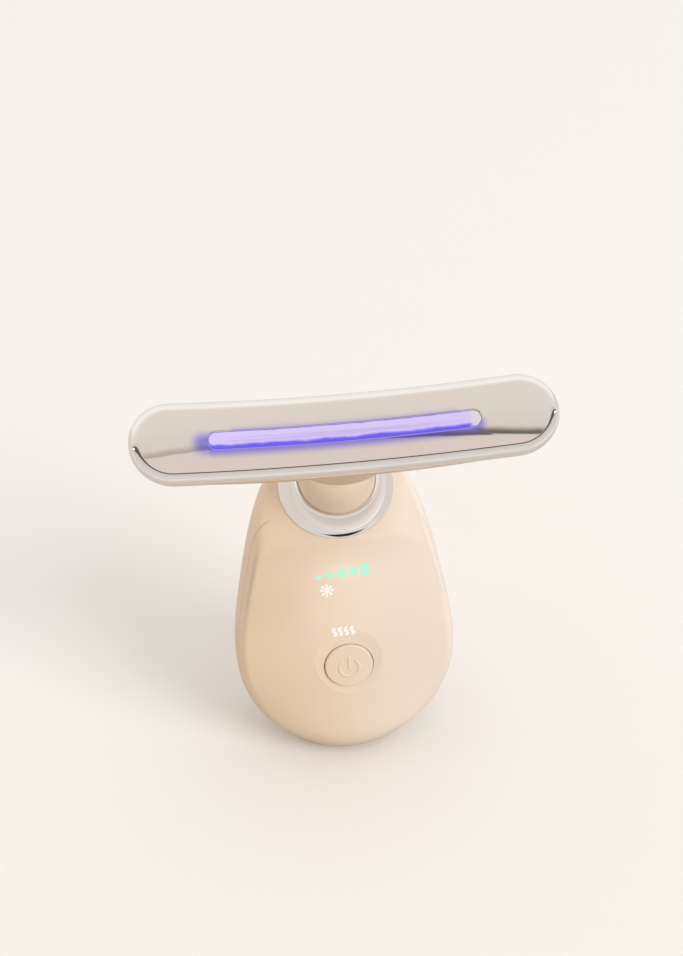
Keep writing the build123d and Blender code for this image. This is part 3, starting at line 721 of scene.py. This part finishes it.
def slot_ring(length, width, depth):
    """Round-ended outline at a depth behind the bowed face, in the head frame."""
    r = width / 2
    s = length / 2 - r
    right = arc((s, 0), r, -90, 90, END_STEPS)
    left = arc((-s, 0), r, 90, 270, END_STEPS)
    step = 2 * s / SIDE_STEPS
    top = [(s - step * k, r) for k in range(1, SIDE_STEPS)]
    bottom = [(step * k - s, -r) for k in range(1, SIDE_STEPS)]
    points = right + top + left + bottom
    return [(x, y, bowed(x, depth)) for x, y in points]


def blend_rings(first, last, depth):
    """Rings between two outlines on the bowed face, at one depth."""
    rings = []
    for k in range(1, FACE_STEPS):
        t = k / FACE_STEPS
        ring = []
        for a, b in zip(first, last):
            x, y = a[0] + (b[0] - a[0]) * t, a[1] + (b[1] - a[1]) * t
            ring.append((x, y, bowed(x, depth)))
        rings.append(ring)
    return rings


def head_ring(inset, depth):
    """Outline of the head drawn in by an inset, at a depth."""
    return slot_ring(HEAD_LENGTH - 2 * inset, HEAD_WIDTH - 2 * inset, depth)


def window_ring(inset, depth):
    """Outline of the window drawn in by an inset, at a depth."""
    return slot_ring(WINDOW_LENGTH - 2 * inset, WINDOW_WIDTH - 2 * inset, depth)


def massage_plate():
    """Chrome tray with its rounded edge, bowed face and slot, as one smooth skin."""
    turns = [radians(90 * k / EDGE_STEPS) for k in range(EDGE_STEPS + 1)]
    edge = [head_ring(EDGE * (1 - sin(a)), EDGE * (1 - cos(a))) for a in turns]
    # The slot's lip is rolled in, and a ring close to it and one close to the edge hold the
    # face flat between them.
    lip = [window_ring(0, 0.12), window_ring(-0.035, 0.035), window_ring(-0.12, 0)]
    near, far = window_ring(-0.3, 0), head_ring(EDGE + 0.15, 0)
    face = [near, *blend_rings(near, far, 0), far]
    rim = [head_ring(0, DEPTH - 0.05), head_ring(0.05, DEPTH), head_ring(WALL, DEPTH)]
    inner, mouth = head_ring(WALL, WALL), window_ring(0, WALL)
    back = [inner, *blend_rings(inner, mouth, WALL), mouth]
    verts, faces = skin([*lip, *face, *edge, *rim, *back], closed=True)
    plate = piece("chrome_head_plate", verts, faces, chrome_plate, tilted(HEAD), "device")
    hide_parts("massage_plate")


def light_bar():
    """Light bar in the slot, its edge rounded and standing a little proud."""
    proud, turn, gap, foot = 0.14, 0.45, 0.05, 1.7
    turn_steps, crown_steps = 7, 4
    rings = [window_ring(gap, foot)]
    for k in range(turn_steps + 1):
        a = radians(90 * k / turn_steps)
        rings.append(window_ring(gap + turn * (1 - cos(a)), turn * (1 - sin(a)) - proud))
    for k in range(1, crown_steps):
        half = (WINDOW_WIDTH / 2 - turn - gap) * (1 - k / crown_steps)
        rings.append(window_ring(WINDOW_WIDTH / 2 - half, -proud - 0.01 * k))
    verts, faces = skin(rings)
    count = len(rings[0])
    last = (len(rings) - 1) * count
    faces.append(tuple(range(last, last + count)))
    faces.append(tuple(range(count - 1, -1, -1)))
    bar = piece("light_bar", verts, faces, window_glass, tilted(HEAD), "device")
    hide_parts("light_window")


massage_plate()
light_bar()

# ---------------------------------------------------------------- collar

STEM_RADIUS = 9.62  # mm, of the lip round the stem at its sides
STEM_OVAL = 0.16  # mm more at the front and less at the back
COLLAR_STEPS = 160
FLARE_STEPS = 20


def close_to_stem(point, inset):
    """Point of the lip, moved in to leave a hair's gap round the slightly oval stem."""
    x, y, z = point
    r = hypot(x, y)
    scale = (STEM_RADIUS - STEM_OVAL * y / r - inset) / r
    return (x * scale, y * scale, z)


def collar():
    """Chrome collar: a turned ring with a dished flare, a rim bead and softened edges."""
    land, top, bore, lip = 14.4, 10.6, 10.05, 9.9
    height, foot, sag = 4.9, 0.5, 0.3
    break_edge, rim_bead, brow, lip_bead = 0.06, 0.2, 0.35, 0.15
    rise, run = height - foot, land - top
    chord = hypot(rise, run)
    bend = (chord * chord / 4 + sag * sag) / (2 * sag)
    middle = ((land + top) / 2, (height + foot) / 2)
    centre = (
        middle[0] + (bend - sag) * rise / chord,
        middle[1] + (bend - sag) * run / chord,
    )
    profile = [(bore, 0.0), (land - break_edge, 0.0), (land, break_edge)]
    profile += [(land, foot - rim_bead)]
    profile += arc((land - rim_bead, foot - rim_bead), rim_bead, 15, 75, 4)
    for k in range(2, FLARE_STEPS):
        t = k / FLARE_STEPS
        x, y = land - run * t, foot + rise * t
        away = Vector((x - centre[0], y - centre[1])).normalized() * bend
        profile.append((centre[0] + away.x, centre[1] + away.y))
    profile += arc((top - brow, height - brow), brow, 35, 90, 5)
    profile += arc((lip + lip_bead, height - lip_bead), lip_bead, 90, 180, 4)
    profile += [(lip, height - 0.7), (bore, height - 0.9)]
    rings = lathe(profile, COLLAR_STEPS)
    for k, (r, z) in enumerate(profile):
        if r < bore and z > foot:
            rings[k] = [close_to_stem(point, lip - r) for point in rings[k]]
    verts, faces = skin(rings, closed=True)
    ring = piece("chrome_collar", verts, faces, chrome_collar, tilted(NECK), "device")
    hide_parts("neck_collar")


collar()

# ---------------------------------------------------------------- marks on face and button

MARK_LIFT = 0.03  # mm that the lit marks stand proud of the face
MARK_SINK = 0.02  # mm that their foot is below it

face_matrix = tilted(FACE)
face_inverse = face_matrix.inverted()
depsgraph = bpy.context.evaluated_depsgraph_get()
shell_tree = BVHTree.FromObject(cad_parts["front_shell"], depsgraph)
button_tree = BVHTree.FromObject(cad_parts["power_button"], depsgraph)


def face_height(x, y, tree):
    """Height of a surface above the face frame at a point, in mm."""
    start = face_matrix @ Vector((x, y, 5.0))
    down = (face_matrix.to_3x3() @ Vector((0, 0, -1))).normalized()
    hit = tree.ray_cast(start, down)[0]
    return (face_inverse @ hit).z


def inlay(name, outlines, material):
    """Thin raised shapes that follow the shell below them, from closed outlines."""
    verts, faces = [], []
    for outline in outlines:
        base = len(verts)
        count = len(outline)
        heights = [face_height(x, y, shell_tree) for x, y in outline]
        for rise in (-MARK_SINK, MARK_LIFT):
            verts += [(x, y, h + rise) for (x, y), h in zip(outline, heights)]
        faces.append(tuple(base + count + k for k in range(count)))
        for k in range(count):
            n = (k + 1) % count
            faces.append((base + k, base + n, base + count + n, base + count + k))
    return piece(name, verts, faces, material, face_matrix, "device", angle=30)


def pill(x, y, width, height, turn=0.0, corner=None):
    """Rounded bar outline about a centre, turned by an angle in degrees."""
    r = min(width, height) / 2 if corner is None else corner
    points = []
    for cx, cy, start in ((1, 1, 0), (-1, 1, 90), (-1, -1, 180), (1, -1, 270)):
        middle = (cx * (width / 2 - r), cy * (height / 2 - r))
        points += arc(middle, r, start, start + 90, 4)
    c, s = cos(radians(turn)), sin(radians(turn))
    return [(x + c * px - s * py, y + s * px + c * py) for px, py in points]


def face_marks():
    """Level bars, lamp sign and heat waves that shine through the face."""
    bars = []
    for k in range(5):
        tall = 0.9 + 0.55 * k
        x, y = LEVEL_SPOT[0] - 5.8 + 2.9 * k, LEVEL_SPOT[1] - 1.5 + tall / 2
        bars.append(pill(x, y, width=1.9, height=tall, corner=0.3))
    inlay("level_bars", bars, mint_light)
    x, y = LAMP_SPOT
    rays = [pill(x, y, width=1.3, height=1.3)]
    for turn in range(0, 360, 45):
        a = radians(turn)
        middle = (x + 1.35 * cos(a), y + 1.35 * sin(a))
        rays.append(pill(*middle, width=0.6, height=0.32, turn=turn))
    inlay("lamp_sign", rays, white_light)
    x, y = HEAT_SPOT
    half = 0.24
    waves = []
    for k in (-1.5, -0.5, 0.5, 1.5):
        line = [(x + 1.5 * k + 0.3 * sin(pi * t / 6), y - 1.2 + 0.2 * t) for t in range(13)]
        left = [(px - half, py) for px, py in line]
        waves.append(left + [(px + half, py) for px, py in line[::-1]])
    inlay("heat_waves", waves, white_light)


# Section across a rib, as shares of half its width and of its height.
RIB = (
    (-1.0, -0.3),
    (-0.85, 0.45),
    (-0.45, 0.9),
    (0.0, 1.0),
    (0.45, 0.9),
    (0.85, 0.45),
    (1.0, -0.3),
)


def rib(path, half, tall, base):
    """Low rounded rib on the button along an open line, with its points counted from a base."""
    verts, faces = [], []
    walk = [0.0]
    for p, q in zip(path, path[1:]):
        walk.append(walk[-1] + hypot(q[0] - p[0], q[1] - p[1]))
    for k, (x, y) in enumerate(path):
        before, after = path[max(k - 1, 0)], path[min(k + 1, len(path) - 1)]
        along = Vector((after[0] - before[0], after[1] - before[1])).normalized()
        end = min(walk[k], walk[-1] - walk[k], half)
        swell = sqrt(max(1 - (1 - end / half) ** 2, 0.01))
        height = face_height(x, y, button_tree)
        for across, up in RIB:
            reach = across * half * swell
            rise = up * tall * (swell if up > 0 else 1)
            verts.append((x - along.y * reach, y + along.x * reach, height + rise))
    wide = len(RIB)
    for k in range(len(path) - 1):
        for m in range(wide - 1):
            a = base + k * wide + m
            faces.append((a, a + 1, a + wide + 1, a + wide))
    for start in (base, base + (len(path) - 1) * wide):
        faces.append(tuple(range(start, start + wide)))
    return verts, faces


def power_symbol():
    """Raised power symbol on the button: an open ring and a short bar."""
    ring = arc((0, -0.5), 2.55, 125, 415, 60)
    bar = [(0, -1.3 + 0.2 * k) for k in range(22)]
    verts, faces = [], []
    for path in (ring, bar):
        more_verts, more_faces = rib(path, half=0.42, tall=0.2, base=len(verts))
        verts += more_verts
        faces += more_faces
    piece("power_symbol", verts, faces, abs_body, face_matrix, "button", angle=60)


face_marks()
power_symbol()

# ---------------------------------------------------------------- table, room, camera

FLOOR_HALF = 6.0  # metres
NEAR_FLOOR = (120.0, 420.0)  # mm from the device over which the painted shadow that mirrors see on the floor fades out

WORLD_LEVEL = 0.74
LAMP_POWER = 128.0
LAMP_SIZE = 3.0
LAMP_PLACE = (3.5, -2.7, 2.7)
LAMP_AIM = (0, 0, 0.05)

# Directions in the room are counted over the top, from 0 at the front horizon to 1 at the back
# one. They are bowed by x * (0.063 * x + 0.033) radians, x being the direction's share to the
# side, so that the bowed plate shows the room's lines nearly level.
BOW = (0.063, 0.033)
# Tones of the room over the top: direction, colour and brightness.
WALL_TONES = (
    (0.0, "#F2F2F4", 1.2),
    (0.3, "#F6F2EE", 1.0),
    (0.361, "#F3E8E3", 1.18),
    (0.366, "#F0E9E4", 1.18),
    (0.372, "#F3EEE9", 1.22),
    (0.42, "#F6F2ED", 1.25),
    (0.55, "#FFFFFF", 1.4),
    (1.0, "#FFFFFF", 1.2),
)
SIDE_TONE = (1.04, 1.0, 0.97, 1.0)
SLOT_TONE = (2.0, 2.0, 2.0, 1.0)
CORNER = (0.3642, 0.3645, 0.3665)  # hard edge of the corner's shadow, full dark, and its end
CORNER_DEPTH = (-0.2, 0.35, 0.85, 0.35)  # x from and to, and the shadow's depth there

CAMERA_ANGLES = (40.32, -5.78, 1.38)  # elevation, azimuth and roll in degrees
CAMERA_DISTANCE = 316.27  # mm
CAMERA_AIM = (0.22, 84.77)  # mm sideways and up
FOCAL_PIXELS, FRAME_PIXELS = 1341.9, 956
SENSOR = 36.0


def floor():
    """Pale matt table top, wide enough to fill the view.

    Its bounce on the object is kept lower than its own tone. Mirrors see it darker, a painted
    reflection tone, and darker still near the device, a painted shadow.
    """
    material, tree, spot = blank("matt_paper")
    fibre = add(tree, "ShaderNodeTexNoise", {"Vector": spot, "Scale": 0.8, "Detail": 4.0})
    bump = add(
        tree, "ShaderNodeBump", {"Height": fibre, "Strength": 0.05, "Distance": 0.02 * MM}
    )
    ray = add(tree, "ShaderNodeLightPath").outputs
    # Painted shadow: mirrors see the floor darker near the device.
    reach = add(tree, "ShaderNodeVectorMath", {0: spot}, operation="LENGTH")
    near = fade(tree, reach.outputs["Value"], *NEAR_FLOOR)
    painted_mirror_tone = add(
        tree,
        "ShaderNodeMix",
        {"Factor": near, 6: linear("#E2DEDC"), 7: linear("#CFCAC4")},
        data_type="RGBA",
    )
    tone = linear("#F1EDE8")
    for seen_by, other in (
        (ray["Is Diffuse Ray"], linear("#C9C2BA")),
        (ray["Is Glossy Ray"], painted_mirror_tone.outputs[2]),
    ):
        tone = add(
            tree, "ShaderNodeMix", {"Factor": seen_by, 6: tone, 7: other}, data_type="RGBA"
        ).outputs[2]
    surface(
        tree,
        {"Base Color": tone, "Roughness": 1.0, "Specular IOR Level": 0.0, "Normal": bump},
    )
    mesh = bpy.data.meshes.new("floor")
    r = FLOOR_HALF
    mesh.from_pydata([(-r, -r, 0), (r, -r, 0), (r, r, 0), (-r, r, 0)], [], [(0, 1, 2, 3)])
    mesh.materials.append(material)
    thing = bpy.data.objects.new("floor", mesh)
    bpy.context.scene.collection.objects.link(thing)


def room(tree):
    """Colour of the room, from each direction."""
    spot = add(tree, "ShaderNodeTexCoord").outputs["Generated"]
    axes = add(tree, "ShaderNodeSeparateXYZ", {0: spot}).outputs
    x, z = axes["X"], axes["Z"]
    front = product(tree, axes["Y"], -1.0)
    pitch = add(tree, "ShaderNodeMath", {0: z, 1: front}, operation="ARCTAN2")
    bow = add(tree, "ShaderNodeMath", {0: x, 1: BOW[0], 2: BOW[1]}, operation="MULTIPLY_ADD")
    bow = product(tree, bow, x)
    turn = add(tree, "ShaderNodeMath", {0: pitch, 1: bow}, operation="SUBTRACT")
    turn = product(tree, turn, 1 / pi)
    aside = add(tree, "ShaderNodeMath", {0: x}, operation="ABSOLUTE")

    wall = add(tree, "ShaderNodeValToRGB", {"Fac": turn})
    stops = wall.color_ramp.elements
    while len(stops) < len(WALL_TONES):
        stops.new(0.5)
    for stop, (position, code, bright) in zip(stops, WALL_TONES):
        stop.position = position
        stop.color = [c * bright for c in linear(code)[:3]] + [1.0]

    hard_edge, dark, pale = CORNER
    past = add(tree, "ShaderNodeMath", {0: turn, 1: hard_edge}, operation="GREATER_THAN")
    x_from, x_to, depth_from, depth_to = CORNER_DEPTH
    depth = add(
        tree,
        "ShaderNodeMapRange",
        {
            "Value": x,
            "From Min": x_from,
            "From Max": x_to,
            "To Min": depth_from,
            "To Max": depth_to,
        },
    )
    corner = product(tree, fade(tree, turn, dark, pale), past, depth)
    rail = product(
        tree,
        band(tree, turn, middle=0.33, half=0.022, soft=0.004),
        band(tree, aside, middle=0.0, half=0.8, soft=0.05),
        0.85,
    )
    shade = add(tree, "ShaderNodeMath", {0: corner, 1: rail}, operation="MAXIMUM")
    slots = product(
        tree,
        band(tree, turn, middle=0.327, half=0.01, soft=0.004),
        band(tree, aside, middle=0.62, half=0.18, soft=0.06),
    )
    colour = wall.outputs["Color"]
    for share, tone in (
        (band(tree, aside, middle=1.0, half=0.14, soft=0.12), SIDE_TONE),
        (shade, linear("#2A2624")),
        (slots, SLOT_TONE),
    ):
        colour = add(
            tree, "ShaderNodeMix", {"Factor": share, 6: colour, 7: tone}, data_type="RGBA"
        ).outputs[2]
    return colour


def studio():
    """Pale room: bright behind, a softer front wall and ceiling that meet in a thin shadow,
    and below it a dark rail with a lit slot at each end. The camera itself sees a plain tone.
    One wide soft lamp stands at the front right."""
    world = bpy.data.worlds.new("studio")
    world.use_nodes = True
    tree = world.node_tree
    tree.nodes.clear()
    lit = add(tree, "ShaderNodeBackground", {"Color": room(tree), "Strength": WORLD_LEVEL})
    seen = add(tree, "ShaderNodeBackground", {"Color": linear("#F8F3ED"), "Strength": 1.0})
    ray = add(tree, "ShaderNodeLightPath").outputs["Is Camera Ray"]
    sky = add(tree, "ShaderNodeMixShader", {"Fac": ray, 1: lit, 2: seen})
    add(tree, "ShaderNodeOutputWorld", {"Surface": sky})
    bpy.context.scene.world = world
    lamp = bpy.data.lights.new("soft_lamp", "AREA")
    lamp.shape = "DISK"
    lamp.size = LAMP_SIZE
    lamp.energy = LAMP_POWER
    thing = bpy.data.objects.new("soft_lamp", lamp)
    bpy.context.scene.collection.objects.link(thing)
    thing.visible_glossy = False
    thing.location = LAMP_PLACE
    aim = Vector(LAMP_AIM) - thing.location
    thing.rotation_euler = aim.to_track_quat("-Z", "Y").to_euler()


def camera():
    """Camera above the front, a little to the left, looking down at the device."""
    e, a, roll = (radians(angle) for angle in CAMERA_ANGLES)
    back = Vector((sin(a) * cos(e), -cos(a) * cos(e), sin(e)))
    right = Vector((cos(a), sin(a), 0))
    up = back.cross(right)
    aside, height = CAMERA_AIM
    aim = Vector((aside * cos(a), aside * sin(a), height)) * MM
    right, up = right * cos(roll) - up * sin(roll), right * sin(roll) + up * cos(roll)
    data = bpy.data.cameras.new("camera")
    data.sensor_width = SENSOR
    data.lens = SENSOR * FOCAL_PIXELS / FRAME_PIXELS
    data.clip_start = 0.01
    thing = bpy.data.objects.new("camera", data)
    bpy.context.scene.collection.objects.link(thing)
    turn = Matrix((right, up, back)).transposed().to_4x4()
    thing.matrix_world = Matrix.Translation(aim + back * CAMERA_DISTANCE * MM) @ turn
    bpy.context.scene.camera = thing


floor()
studio()
camera()
bpy.context.scene.view_settings.view_transform = "Standard"
